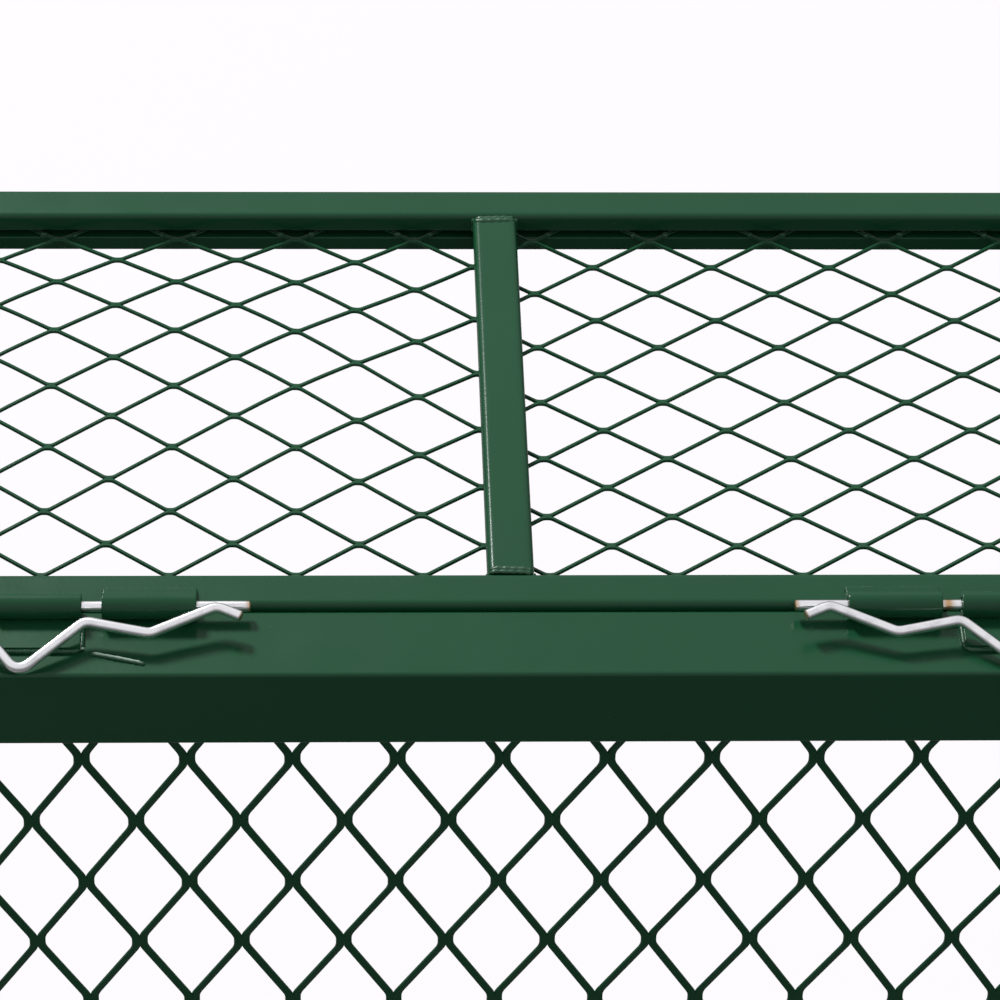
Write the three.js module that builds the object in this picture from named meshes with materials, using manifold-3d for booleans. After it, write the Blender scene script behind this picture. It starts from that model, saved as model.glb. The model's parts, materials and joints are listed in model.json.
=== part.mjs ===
// Livestock panel gate: a mesh-filled gate leaf with a hinged mesh flap behind its top rail.
// Millimetres, +Z up, +X to the right, +Y away from the front. The origin is the middle of the
// bottom rail's underside, in the plane of the gate leaf.
import * as THREE from "three";
import { mergeVertices } from "three/addons/utils/BufferGeometryUtils.js";
import Module from "manifold-3d";

const wasm = await Module();
wasm.setup();

// Driving dimensions.
const GATE_WIDTH = 610;
const GATE_HEIGHT = 600;
const RAIL = 38; // square tube of the gate leaf
const RAIL_WALL = 2;
const RAIL_RADIUS = 3;
const FLAP_TUBE = 19; // square tube of the flap
const FLAP_WALL = 1.5;
const FLAP_RADIUS = 3.5;
const FLAP_OPENING = 233.5; // from the near rail to the far rail
const FLAP_RISE = 2.7; // the flap's top above the gate's top
const RAIL_GAP = 0.8; // the flap's near rail behind the gate's top rail
const FIT = 0.3; // gap between touching pieces
const CAP = 2; // end plates
const MESH_THICKNESS = 2;
const MESH_DROP = 10.8; // flap mesh centre below the flap's top
const GATE_MESH = { cellX: 42.9, cellY: 71, strand: 3.2, phaseX: 14.5, phaseY: -135.3 };
const FLAP_MESH = { cellX: 51.9, cellY: 36.6, strand: 2, phaseX: 38.5, phaseY: 158.1 };
const STRUT_WIDTH = 19;
const STRUT_X = -4;
const WIRE_RADIUS = 2.25;
const BORE_RADIUS = 2.65;
const KNUCKLE_RADIUS = 5.4;
const PIN_SETBACK = 3.5; // hinge axis, in from the top rail's back face
const INNER_KNUCKLE = [131, 169]; // distances from the middle, along the hinge axis
const OUTER_KNUCKLE = [177, 211];
const LEAF = 2; // hinge leaf thickness
const LEAF_REACH = 20.5; // hinge leaf, from the axis to its front edge
const LUG_REACH = 11.5; // flap lug, from the axis to its back edge
const CLIP_START = 109.5; // free end of the pin leg, from the middle
const CLIP_DROOP = 15 * (Math.PI / 180); // the clip leans down until its bend is near the rail
const COIL_RADIUS = 8.5;
const COIL_X = OUTER_KNUCKLE[1] + COIL_RADIUS + WIRE_RADIUS + 0.9;
const COIL_PITCH = 4.5;
const COIL_TURN = 360 + 155; // degrees
const BEND_RADIUS = 5; // centre line of the waved leg's bends

// Sizes that follow from them.
const HALF = GATE_WIDTH / 2;
const TOP = GATE_HEIGHT;
const NEAR = RAIL / 2 + RAIL_GAP; // front face of the flap's near rail
const MESH_NEAR = NEAR + FLAP_TUBE;
const FAR = MESH_NEAR + FLAP_OPENING; // front face of the flap's far rail
const FLAP_TOP = TOP + FLAP_RISE;
const FLAP_BOTTOM = FLAP_TOP - FLAP_TUBE;
const MESH_Z = FLAP_TOP - MESH_DROP;
const STRUT_HEIGHT = MESH_DROP - MESH_THICKNESS / 2 - FIT;
const STRIP_TOP = MESH_Z - MESH_THICKNESS / 2 - FIT;
const PIN_Y = RAIL / 2 - PIN_SETBACK;
const PIN_Z = TOP + FIT + KNUCKLE_RADIUS;

const GREEN = new THREE.MeshStandardMaterial({ color: 0x1d4a30, roughness: 0.32, metalness: 0.1 });
const ZINC = new THREE.MeshStandardMaterial({ color: 0xc9ccd0, roughness: 0.28, metalness: 0.9 });

const gate = new THREE.Group();

function add(name, geometry, material = GREEN) {
  const mesh = new THREE.Mesh(geometry, material);
  mesh.name = name;
  gate.add(mesh);
}

// A geometry as a manifold solid, and back.
function toSolid(geometry) {
  const bare = geometry.clone();
  bare.deleteAttribute("normal");
  bare.deleteAttribute("uv");
  const merged = mergeVertices(bare, 1e-4);
  return new wasm.Manifold(
    new wasm.Mesh({
      numProp: 3,
      vertProperties: new Float32Array(merged.attributes.position.array),
      triVerts: new Uint32Array(merged.index.array),
    }),
  );
}

function toGeometry(solid) {
  const mesh = solid.getMesh();
  const geometry = new THREE.BufferGeometry();
  geometry.setAttribute("position", new THREE.BufferAttribute(mesh.vertProperties, 3));
  geometry.setIndex(new THREE.BufferAttribute(mesh.triVerts, 1));
  geometry.computeVertexNormals();
  return geometry;
}

function box(x, y, z) {
  const geometry = new THREE.BoxGeometry(x[1] - x[0], y[1] - y[0], z[1] - z[0]);
  return geometry.translate((x[0] + x[1]) / 2, (y[0] + y[1]) / 2, (z[0] + z[1]) / 2);
}

// Turns a profile drawn in local X and Y, and extruded along local Z, to run along a world axis.
function along(axis, geometry) {
  const x = new THREE.Vector3(1, 0, 0);
  const y = new THREE.Vector3(0, 1, 0);
  const z = new THREE.Vector3(0, 0, 1);
  const bases = { x: [y, z, x], y: [z, x, y], z: [x, y, z] };
  return geometry.applyMatrix4(new THREE.Matrix4().makeBasis(...bases[axis]));
}

function roundedOutline(path, width, height, radius) {
  const w = width / 2 - radius;
  const h = height / 2 - radius;
  path.absarc(w, h, radius, 0, Math.PI / 2);
  path.absarc(-w, h, radius, Math.PI / 2, Math.PI);
  path.absarc(-w, -h, radius, Math.PI, 1.5 * Math.PI);
  path.absarc(w, -h, radius, 1.5 * Math.PI, 2 * Math.PI);
  path.closePath();
  return path;
}

// Hollow tube with rounded corners. The section's sizes are given along the two axes that
// follow the tube's own axis in X, Y, Z order; `from` and `to` are its ends on that axis.
function tube(axis, from, to, width, height, radius, wall, centre) {
  const shape = roundedOutline(new THREE.Shape(), width, height, radius);
  const inner = Math.max(radius - wall, 0.6);
  shape.holes.push(roundedOutline(new THREE.Path(), width - 2 * wall, height - 2 * wall, inner));
  return extruded(axis, shape, from, to, centre);
}

function extruded(axis, shape, from, to, centre) {
  const geometry = new THREE.ExtrudeGeometry(shape, {
    depth: to - from,
    bevelEnabled: false,
    curveSegments: 4,
  });
  geometry.translate(centre[0], centre[1], from);
  return along(axis, geometry);
}

function plate(axis, from, to, width, height, radius, centre) {
  const shape = roundedOutline(new THREE.Shape(), width, height, radius);
  return extruded(axis, shape, from, to, centre);
}

// Rectangular sheet in local X and Y with rows of diamond holes, each row half a cell along
// from the last. Strands cut by the edge stay open.
function expandedSheet(x, y, mesh) {
  const a = mesh.cellX / 2;
  const b = mesh.cellY / 2;
  const reach = (a * b) / Math.hypot(a, b);
  const k = (reach - mesh.strand / 2) / reach;
  const diamonds = [];
  const columns = Math.ceil((x[1] - x[0]) / a) + 2;
  const rows = Math.ceil((y[1] - y[0]) / b) + 2;
  const firstColumn = Math.floor((x[0] - mesh.phaseX) / a) - 1;
  const firstRow = Math.floor((y[0] - mesh.phaseY) / b) - 1;
  for (let i = firstColumn; i < firstColumn + columns + 1; i++) {
    for (let j = firstRow; j < firstRow + rows + 1; j++) {
      if ((i + j) % 2 !== 0) continue;
      const cx = mesh.phaseX + i * a;
      const cy = mesh.phaseY + j * b;
      const diamond = new THREE.Shape();
      diamond.moveTo(cx + k * a, cy);
      diamond.lineTo(cx, cy + k * b);
      diamond.lineTo(cx - k * a, cy);
      diamond.lineTo(cx, cy - k * b);
      diamond.closePath();
      diamonds.push(diamond);
    }
  }
  const half = MESH_THICKNESS / 2;
  const cutter = new THREE.ExtrudeGeometry(diamonds, { depth: 6 * half, bevelEnabled: false });
  const sheet = toSolid(box(x, y, [-half, half]));
  const cut = sheet.subtract(toSolid(cutter.translate(0, 0, -3 * half)));
  const bodies = cut.decompose().sort((p, q) => q.volume() - p.volume());
  return toGeometry(bodies[0]);
}

// Gate leaf: full-width rails, stiles between them, and plates over the rails' open ends.
function railX(name, z) {
  const end = HALF - CAP - FIT;
  add(name, tube("x", -end, end, RAIL, RAIL, RAIL_RADIUS, RAIL_WALL, [0, z]));
  for (const [side, s] of [["left", -1], ["right", 1]]) {
    const ends = [s * HALF, s * (HALF - CAP)].sort((p, q) => p - q);
    add(`${name}_cap_${side}`, plate("x", ...ends, RAIL, RAIL, RAIL_RADIUS, [0, z]));
  }
}
railX("gate_top_rail", TOP - RAIL / 2);
railX("gate_bottom_rail", RAIL / 2);
for (const [side, s] of [["left", -1], ["right", 1]]) {
  const centre = [s * (HALF - RAIL / 2), 0];
  const ends = [RAIL + FIT, TOP - RAIL - FIT];
  add(`gate_stile_${side}`, tube("z", ...ends, RAIL, RAIL, RAIL_RADIUS, RAIL_WALL, centre));
}
{
  const x = HALF - RAIL - FIT;
  const z = [RAIL + FIT - TOP, -RAIL - FIT];
  const sheet = expandedSheet([-x, x], z, GATE_MESH);
  add("gate_mesh", sheet.rotateX(Math.PI / 2).translate(0, 0, TOP));
}

// Flap: near rail and end rails of square tube; the far rail is a shallow tube over a flat
// strip with the mesh's edge held between them, and the strut is a shallow tube on the mesh.
const flapCentre = (FLAP_TOP + FLAP_BOTTOM) / 2;
function flapRail(name, y, height, z) {
  const end = HALF - CAP - FIT;
  add(name, tube("x", -end, end, FLAP_TUBE, height, FLAP_RADIUS, FLAP_WALL, [y, z]));
  for (const [side, s] of [["left", -1], ["right", 1]]) {
    const ends = [s * HALF, s * (HALF - CAP)].sort((p, q) => p - q);
    add(`${name}_cap_${side}`, plate("x", ...ends, FLAP_TUBE, height, FLAP_RADIUS, [y, z]));
  }
}
flapRail("flap_near_rail", NEAR + FLAP_TUBE / 2, FLAP_TUBE, flapCentre);
flapRail("flap_far_rail", FAR + FLAP_TUBE / 2, STRUT_HEIGHT, FLAP_TOP - STRUT_HEIGHT / 2);
add("flap_far_strip", box([-HALF, HALF], [FAR, FAR + FLAP_TUBE], [FLAP_BOTTOM, STRIP_TOP]));
for (const [side, s] of [["left", -1], ["right", 1]]) {
  const centre = [flapCentre, s * (HALF - FLAP_TUBE / 2)];
  const ends = [MESH_NEAR + FIT, FAR - FIT];
  const size = [FLAP_TUBE, FLAP_TUBE, FLAP_RADIUS, FLAP_WALL];
  add(`flap_end_rail_${side}`, tube("y", ...ends, ...size, centre));
}
{
  const ends = [MESH_NEAR + FIT, FAR - FIT];
  const centre = [FLAP_TOP - STRUT_HEIGHT / 2, STRUT_X];
  const size = [STRUT_HEIGHT, STRUT_WIDTH, 2.2, FLAP_WALL];
  add("flap_strut", tube("y", ...ends, ...size, centre));
  const x = HALF - FLAP_TUBE - FIT;
  const sheet = expandedSheet([-x, x], [MESH_NEAR + FIT, FAR + 0.6 * FLAP_TUBE], FLAP_MESH);
  add("flap_mesh", sheet.translate(0, 0, MESH_Z));
}

// A round bar along X, for knuckles and bores.
function bar(radius, from, to, segments = 28) {
  const geometry = new THREE.CylinderGeometry(radius, radius, to - from, segments);
  geometry.rotateZ(-Math.PI / 2).translate((from + to) / 2, PIN_Y, PIN_Z);
  return toSolid(geometry);
}

// Knuckle with a flat leaf, both at side s of the middle.
function hinge(name, s, span, leaf) {
  const [from, to] = [s * span[0], s * span[1]].sort((p, q) => p - q);
  const body = bar(KNUCKLE_RADIUS, from, to).add(toSolid(box([from, to], ...leaf)));
  add(name, toGeometry(body.subtract(bar(BORE_RADIUS, from - 1, to + 1))));
}

// Points of a path whose inner corners are rounded with arcs, without its first point.
function roundedCorners(corners, radius, steps) {
  const path = [];
  const at = corners.map(([x, y]) => new THREE.Vector2(x, y));
  for (let i = 1; i + 1 < at.length; i++) {
    const back = at[i - 1].clone().sub(at[i]).normalize();
    const ahead = at[i + 1].clone().sub(at[i]).normalize();
    const half = Math.acos(back.dot(ahead)) / 2;
    const centre = back.clone().add(ahead).setLength(radius / Math.sin(half)).add(at[i]);
    const start = back.setLength(radius / Math.tan(half)).add(at[i]).sub(centre);
    const end = ahead.setLength(radius / Math.tan(half)).add(at[i]).sub(centre);
    const turn = Math.PI - 2 * half;
    for (let k = 0; k <= steps; k++) {
      const near = Math.sin(turn * (1 - k / steps)) / Math.sin(turn);
      const far = Math.sin((turn * k) / steps) / Math.sin(turn);
      path.push([
        centre.x + near * start.x + far * end.x,
        centre.y + near * start.y + far * end.y,
      ]);
    }
    const midway = at[i + 1].clone().add(centre).add(end).multiplyScalar(0.5);
    path.push([midway.x, midway.y]);
  }
  path.push(corners[corners.length - 1]);
  return path;
}

// Hairpin clip: the pin leg through both knuckles, a coil of over one turn, and a waved leg
// that crosses back over the pin. Points are [outward, forward of the pin, above the pin].
function clipPath(s) {
  const points = [];
  const steps = 44;
  const turn = COIL_TURN * (Math.PI / 180);
  for (let i = 0; i < 12; i++) {
    points.push([CLIP_START + ((COIL_X - CLIP_START) * i) / 12, 0, 0]);
  }
  for (let i = 0; i <= steps; i++) {
    const angle = (turn * i) / steps - Math.PI / 2;
    const rise = (COIL_PITCH * turn * i) / steps / (2 * Math.PI);
    points.push([
      COIL_X + COIL_RADIUS * Math.cos(angle),
      COIL_RADIUS + COIL_RADIUS * Math.sin(angle),
      rise,
    ]);
  }
  const level = (COIL_PITCH * turn) / (2 * Math.PI);
  const last = points[points.length - 1];
  const corners = [
    [last[0] - COIL_X, last[1]],
    [-12.5, 23.8],
    [-20.9, 35.2],
    [-47, 11.2],
    [-73, 16.8],
    [-99.6, 4.3],
    [-109.5, 9],
  ];
  const wave = roundedCorners(corners, BEND_RADIUS, 4);
  for (const [out, forward] of wave) {
    points.push([COIL_X + out, forward, level]);
  }
  const cos = Math.cos(CLIP_DROOP);
  const sin = Math.sin(CLIP_DROOP);
  const placed = points.map(
    ([out, forward, above]) =>
      new THREE.Vector3(
        s * out,
        PIN_Y - forward * cos - above * sin,
        PIN_Z - forward * sin + above * cos,
      ),
  );
  return new THREE.CatmullRomCurve3(placed, false, "centripetal");
}

for (const [side, s] of [["left", -1], ["right", 1]]) {
  hinge(`gate_hinge_${side}`, s, OUTER_KNUCKLE, [
    [PIN_Y - LEAF_REACH, PIN_Y],
    [TOP + FIT, TOP + FIT + LEAF],
  ]);
  hinge(`flap_hinge_${side}`, s, INNER_KNUCKLE, [
    [PIN_Y + BORE_RADIUS, PIN_Y + LUG_REACH],
    [FLAP_TOP + FIT, FLAP_TOP + FIT + LEAF],
  ]);
  const round = new THREE.Shape().absarc(0, 0, WIRE_RADIUS, 0, 2 * Math.PI);
  const wire = new THREE.ExtrudeGeometry(round, {
    steps: 150,
    curveSegments: 5,
    bevelEnabled: false,
    extrudePath: clipPath(s),
  });
  add(`clip_${side}`, toGeometry(toSolid(wire)), ZINC);
}

export default gate;
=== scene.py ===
"""Looks of the livestock panel gate: a mesh-filled leaf, a hinged mesh flap and two hairpin pins.

Every measure is in metres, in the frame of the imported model: +X to the right along the rails,
+Y from the gate leaf towards the flap, +Z up, with the origin in the middle of the bottom rail's
underside.
"""

import json
import logging
from dataclasses import dataclass, field
from enum import Enum

import bpy
import numpy as np
from mathutils import Matrix, Vector


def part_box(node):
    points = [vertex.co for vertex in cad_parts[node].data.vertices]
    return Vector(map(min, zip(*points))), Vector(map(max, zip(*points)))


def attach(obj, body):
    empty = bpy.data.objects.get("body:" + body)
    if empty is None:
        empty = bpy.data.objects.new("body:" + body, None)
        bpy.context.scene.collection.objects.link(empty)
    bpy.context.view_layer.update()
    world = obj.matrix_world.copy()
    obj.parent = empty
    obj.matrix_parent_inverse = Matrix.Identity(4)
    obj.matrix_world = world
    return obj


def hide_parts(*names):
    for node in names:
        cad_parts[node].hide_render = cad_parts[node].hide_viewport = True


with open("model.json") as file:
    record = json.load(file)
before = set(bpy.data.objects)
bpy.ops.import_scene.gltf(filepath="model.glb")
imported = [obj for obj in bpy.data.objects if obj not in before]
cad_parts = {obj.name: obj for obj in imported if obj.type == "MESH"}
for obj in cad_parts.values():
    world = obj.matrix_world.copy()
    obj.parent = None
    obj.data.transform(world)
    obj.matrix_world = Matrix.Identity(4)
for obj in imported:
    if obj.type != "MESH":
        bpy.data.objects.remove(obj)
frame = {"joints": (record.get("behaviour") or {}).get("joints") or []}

logging.basicConfig(level=logging.INFO, format="%(name)s: %(message)s")
LOG = logging.getLogger("panel_gate")

Array = np.ndarray
MM = 0.001
SHARP = np.radians(38)
SIDES = (("left", -1.0), ("right", 1.0))


class Axis(Enum):
    """A direction that a rail or a mesh runs in, with the axes that follow it in X, Y, Z order."""

    X = (0, 1, 2)
    Y = (1, 2, 0)
    Z = (2, 0, 1)

    def place(self, along: Array, across: Array, up: Array) -> Array:
        """Puts three coordinate arrays onto the world axes.

        Args:
            along: Coordinates on this axis.
            across: Coordinates on the axis after it.
            up: Coordinates on the axis after that.

        Returns:
            The points, one row each.
        """
        parts = np.broadcast_arrays(along, across, up)
        points = np.empty(parts[0].shape + (3,))
        for axis, values in zip(self.value, parts):
            points[..., axis] = values
        return points


def corners(node: str) -> tuple[Array, Array]:
    """The low and high corners of a CAD node's box."""
    low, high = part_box(node)
    return np.array(low), np.array(high)


def units(vectors: Array) -> Array:
    """Each row of some vectors at unit length."""
    return vectors / np.linalg.norm(vectors, axis=1)[:, None]


def lengths(points: Array) -> Array:
    """How far along a polyline each of its points lies."""
    steps = np.linalg.norm(np.diff(points, axis=0), axis=1)
    return np.concatenate([[0.0], np.cumsum(steps)])


def spaced(points: Array, where: Array) -> Array:
    """Points of a polyline at given distances from its start."""
    marks = lengths(points)
    return np.stack([np.interp(where, marks, points[:, k]) for k in range(3)], axis=1)


# ---- surfaces


@dataclass
class Surface:
    """A closed piece of mesh: points, faces of three or four corners, and a UV for each corner."""

    points: Array
    quads: Array = field(default_factory=lambda: np.zeros((0, 4), int))
    tris: Array = field(default_factory=lambda: np.zeros((0, 3), int))
    quad_uv: Array = field(default_factory=lambda: np.zeros((0, 4, 2)))
    bare: Array | None = None

    def __post_init__(self) -> None:
        """Fills in the bare-metal mark with zeros where none was given."""
        if self.bare is None:
            self.bare = np.zeros(len(self.points))


def grid_surface(points: Array, uv_along: Array, uv_round: Array, ring: bool = False) -> Surface:
    """Joins rows of closed loops into a surface, and closes its two ends or joins them.

    The loops run anticlockwise seen from the end that the rows run towards, so that each quad's
    first edge follows the loop and its second follows the rows, and their cross product points out.

    Args:
        points: Rows by loop points by 3.
        uv_along: U of each row, and one more if the rows join up.
        uv_round: V of each loop point, and one more for the closing point.
        ring: Joins the last row to the first. Otherwise each end gets a fan to its centre.

    Returns:
        The closed surface.
    """
    rows, cols = points.shape[:2]
    i = np.arange(rows if ring else rows - 1)[:, None]
    j = np.arange(cols)[None, :]
    i1, j1 = (i + 1) % rows, (j + 1) % cols
    quads = np.stack([i * cols + j, i * cols + j1, i1 * cols + j1, i1 * cols + j], axis=-1)
    u0, u1 = uv_along[i], uv_along[i + 1]
    v0, v1 = uv_round[j], uv_round[j + 1]
    turns = [(u0, v0), (u0, v1), (u1, v1), (u1, v0)]
    uv = np.stack([np.stack(np.broadcast_arrays(u, v), axis=-1) for u, v in turns], axis=-2)
    flat = points.reshape(-1, 3)
    tris = np.zeros((0, 3), int)
    if not ring:
        first, last = rows * cols, rows * cols + 1
        k, k1 = np.arange(cols), (np.arange(cols) + 1) % cols
        base = (rows - 1) * cols
        start = np.stack([np.full(cols, first), k1, k], axis=-1)
        end = np.stack([np.full(cols, last), base + k, base + k1], axis=-1)
        tris = np.concatenate([start, end])
        flat = np.concatenate([flat, points[0].mean(0)[None], points[-1].mean(0)[None]])
    return Surface(flat, quads.reshape(-1, 4), tris, uv.reshape(-1, 4, 2))


def swept(centres: Array, side: Array, up: Array, section: Array, ring: bool = False) -> Surface:
    """Carries a section along a path: point = centre + a * side + b * up for each (a, b) of it.

    Args:
        centres: Path points, n by 3.
        side: Unit vectors for the section's first coordinate; side x up points along the path.
        up: Unit vectors for its second coordinate, n by 3.
        section: Closed anticlockwise loop, m by 2, or n by m by 2 where it changes along the path.
        ring: Joins the last station to the first.

    Returns:
        The closed surface, with U as length along the path and V as length round the section.
    """
    section = np.broadcast_to(section, (len(centres),) + section.shape[-2:])
    points = centres[:, None] + section[..., :1] * side[:, None] + section[..., 1:] * up[:, None]
    middle = section[len(section) // 2]
    along, round_it = (lengths(np.concatenate([loop, loop[:1]])) for loop in (centres, middle))
    return grid_surface(points, along, round_it, ring)


def rounded_rectangle(width: float, height: float, radius: float, steps: int) -> Array:
    """Anticlockwise outline: four quarter circles of the corner radius, joined by straight sides.

    A point a little way along each straight side keeps the shading of the flat faces even.

    Args:
        width: Size along the first coordinate.
        height: Size along the second.
        radius: Corner radius.
        steps: Points in each quarter circle.

    Returns:
        Outline points, 4 * (steps + 2) by 2.
    """
    radius = min(radius, width / 2 * 0.98, height / 2 * 0.98)
    inward = min(0.4 * radius, (width / 2 - radius) * 0.6, (height / 2 - radius) * 0.6)
    turn = np.pad(np.linspace(0, np.pi / 2, steps), 1, mode="edge")
    shift = np.zeros(steps + 2)
    shift[0], shift[-1] = -inward, inward
    angles = (turn[None, :] + np.arange(4)[:, None] * np.pi / 2).reshape(-1)
    shift = np.tile(shift, 4)
    signs = np.repeat([[1, 1], [-1, 1], [-1, -1], [1, -1]], steps + 2, axis=0)
    centres = signs * [width / 2 - radius, height / 2 - radius]
    spokes = np.stack([np.cos(angles), np.sin(angles)], axis=-1)
    along = np.stack([-np.sin(angles), np.cos(angles)], axis=-1)
    return centres + radius * spokes + shift[:, None] * along


def circle(radius: float, steps: int) -> Array:
    """Anticlockwise circle of points: radius times (cosine, sine) of evenly spaced angles."""
    angles = np.arange(steps) * 2 * np.pi / steps
    return radius * np.stack([np.cos(angles), np.sin(angles)], axis=-1)


def straight(axis: Axis, stations: Array, centre: tuple[float, float]) -> tuple:
    """A straight path along an axis, with its two section directions.

    Args:
        axis: The axis that the path runs along.
        stations: Positions on that axis.
        centre: The path's place on the two axes that follow.

    Returns:
        Centres, side vectors and up vectors.
    """
    ones = np.ones(len(stations))
    centres = axis.place(stations, centre[0] * ones, centre[1] * ones)
    side = axis.place(0 * ones, ones, 0 * ones)
    up = axis.place(0 * ones, 0 * ones, ones)
    return centres, side, up


def piece(
    name: str, surfaces: list[Surface], finish: "Finish", body: str, replaced: tuple = ()
) -> bpy.types.Object:
    """Makes one object of some surfaces, gives it its finish and rides it on its body.

    Args:
        name: Name of the piece.
        surfaces: Closed surfaces that make it up.
        finish: What it is made of.
        body: CAD body that it moves with.
        replaced: CAD nodes that it stands for.

    Returns:
        The object.
    """
    starts = np.cumsum([0] + [len(s.points) for s in surfaces])
    points = np.concatenate([s.points for s in surfaces])
    quads = np.concatenate([s.quads + k for s, k in zip(surfaces, starts)])
    tris = np.concatenate([s.tris + k for s, k in zip(surfaces, starts)])
    mesh = bpy.data.meshes.new(name)
    mesh.vertices.add(len(points))
    mesh.vertices.foreach_set("co", points.astype(np.float32).ravel())
    corners = np.concatenate([quads.ravel(), tris.ravel()]).astype(np.int32)
    mesh.loops.add(len(corners))
    mesh.loops.foreach_set("vertex_index", corners)
    starts = np.concatenate([np.arange(len(quads)) * 4, quads.size + np.arange(len(tris)) * 3])
    mesh.polygons.add(len(starts))
    mesh.polygons.foreach_set("loop_start", starts.astype(np.int32))
    uv = np.concatenate([s.quad_uv.reshape(-1, 2) for s in surfaces] + [np.zeros((tris.size, 2))])
    mesh.uv_layers.new(name="Run").data.foreach_set("uv", uv.astype(np.float32).ravel())
    marks = np.concatenate([s.bare for s in surfaces]).astype(np.float32)
    mesh.attributes.new("bare", "FLOAT", "POINT").data.foreach_set("value", marks)
    mesh.update(calc_edges=True)
    mesh.validate()
    mesh.polygons.foreach_set("use_smooth", np.ones(len(mesh.polygons), bool))
    mesh.set_sharp_from_angle(angle=SHARP)
    obj = bpy.data.objects.new(name, mesh)
    bpy.context.scene.collection.objects.link(obj)
    obj.data.materials.append(finish.material())
    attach(obj, body)
    if replaced:
        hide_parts(*replaced)
    LOG.info("%s: %d points on %s", name, len(points), body)
    return obj


# ---- finishes


@dataclass
class Nodes:
    """Short hand for building the node tree of a material or the world."""

    owner: bpy.types.ID
    end: str = "ShaderNodeOutputMaterial"

    def __post_init__(self) -> None:
        """Empties the tree and adds the output."""
        self.owner.use_nodes = True
        self.tree = self.owner.node_tree
        self.tree.nodes.clear()
        self.output = self.add(self.end)

    def show(self, shader: object) -> None:
        """Sends a shader output to the tree's surface."""
        self.link(shader, self.output.inputs["Surface"])

    def add(self, kind: str, **values: object) -> bpy.types.Node:
        """Adds a node.

        Args:
            kind: Its Blender type.
            **values: Properties, or values of inputs whose names have spaces as underscores.

        Returns:
            The node.
        """
        node = self.tree.nodes.new(kind)
        for key, value in values.items():
            name = key.replace("_", " ")
            if name in node.inputs:
                node.inputs[name].default_value = value
            else:
                setattr(node, key, value)
        return node

    def link(self, source: object, target: object) -> None:
        """Joins an output to an input."""
        self.tree.links.new(source, target)

    def noise(self, where: object, scale: float, detail: float = 3.0) -> object:
        """Noise over some coordinates.

        Args:
            where: Coordinate output.
            scale: Cells to the metre.
            detail: Octaves.

        Returns:
            The noise's value output.
        """
        node = self.add("ShaderNodeTexNoise", Scale=scale, Detail=detail)
        self.link(where, node.inputs["Vector"])
        return node.outputs["Fac"]

    def ramp(self, value: object, low: float, high: float, to: tuple) -> object:
        """Maps a value from one range onto another, clamped.

        Args:
            value: Value output.
            low: Start of its range.
            high: End of its range.
            to: The new start and end.

        Returns:
            The mapped output.
        """
        limits = {"From_Min": low, "From_Max": high, "To_Min": to[0], "To_Max": to[1]}
        node = self.add("ShaderNodeMapRange", **limits)
        self.link(value, node.inputs["Value"])
        return node.outputs["Result"]

    def blend(self, factor: object, first: object, second: object) -> object:
        """Mixes two colours.

        Args:
            factor: Share of the second, as an output.
            first: Colour or colour output.
            second: Colour or colour output.

        Returns:
            The mixed colour output.
        """
        node = self.add("ShaderNodeMix", data_type="RGBA")
        self.link(factor, node.inputs[0])
        for socket, colour in ((node.inputs[6], first), (node.inputs[7], second)):
            if isinstance(colour, tuple):
                socket.default_value = (*colour, 1.0)
            else:
                self.link(colour, socket)
        return node.outputs[2]

    def bump(
        self, height: object, distance: float, strength: float, after: object = None
    ) -> object:
        """Turns a height into a normal.

        Args:
            height: Height output.
            distance: Metres for a height of 1.
            strength: Share of the effect.
            after: A normal to build on.

        Returns:
            The normal output.
        """
        node = self.add("ShaderNodeBump", Strength=strength, Distance=distance)
        self.link(height, node.inputs["Height"])
        if after is not None:
            self.link(after, node.inputs["Normal"])
        return node.outputs["Normal"]

    def mix(self, ray: str, others: object, these: object) -> object:
        """Shows one shader to one sort of ray and another to the rest.

        Args:
            ray: Name of the Light Path output that picks the rays.
            others: Shader output for all other rays.
            these: Shader output for the picked rays.

        Returns:
            The mixed shader output.
        """
        node = self.add("ShaderNodeMixShader")
        sources = (self.add("ShaderNodeLightPath").outputs[ray], others, these)
        for source, socket in zip(sources, node.inputs):
            self.link(source, socket)
        return node.outputs[0]


class Finish:
    """A finish: a name, the record's slot it belongs to, and a material made once."""

    name: str
    slot: str

    def material(self) -> bpy.types.Material:
        """Makes the finish's material at its first use.

        Returns:
            The material.
        """
        made = bpy.data.materials.get(self.name)
        if made is None:
            made = bpy.data.materials.new(self.name)
            nodes = Nodes(made)
            shader = nodes.add("ShaderNodeBsdfPrincipled")
            nodes.show(shader.outputs["BSDF"])
            self.dress(nodes, shader.inputs)
        return made

    def dress(self, nodes: Nodes, inputs: object) -> None:
        """Builds the node tree that feeds the shader's inputs."""
        raise NotImplementedError


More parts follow.
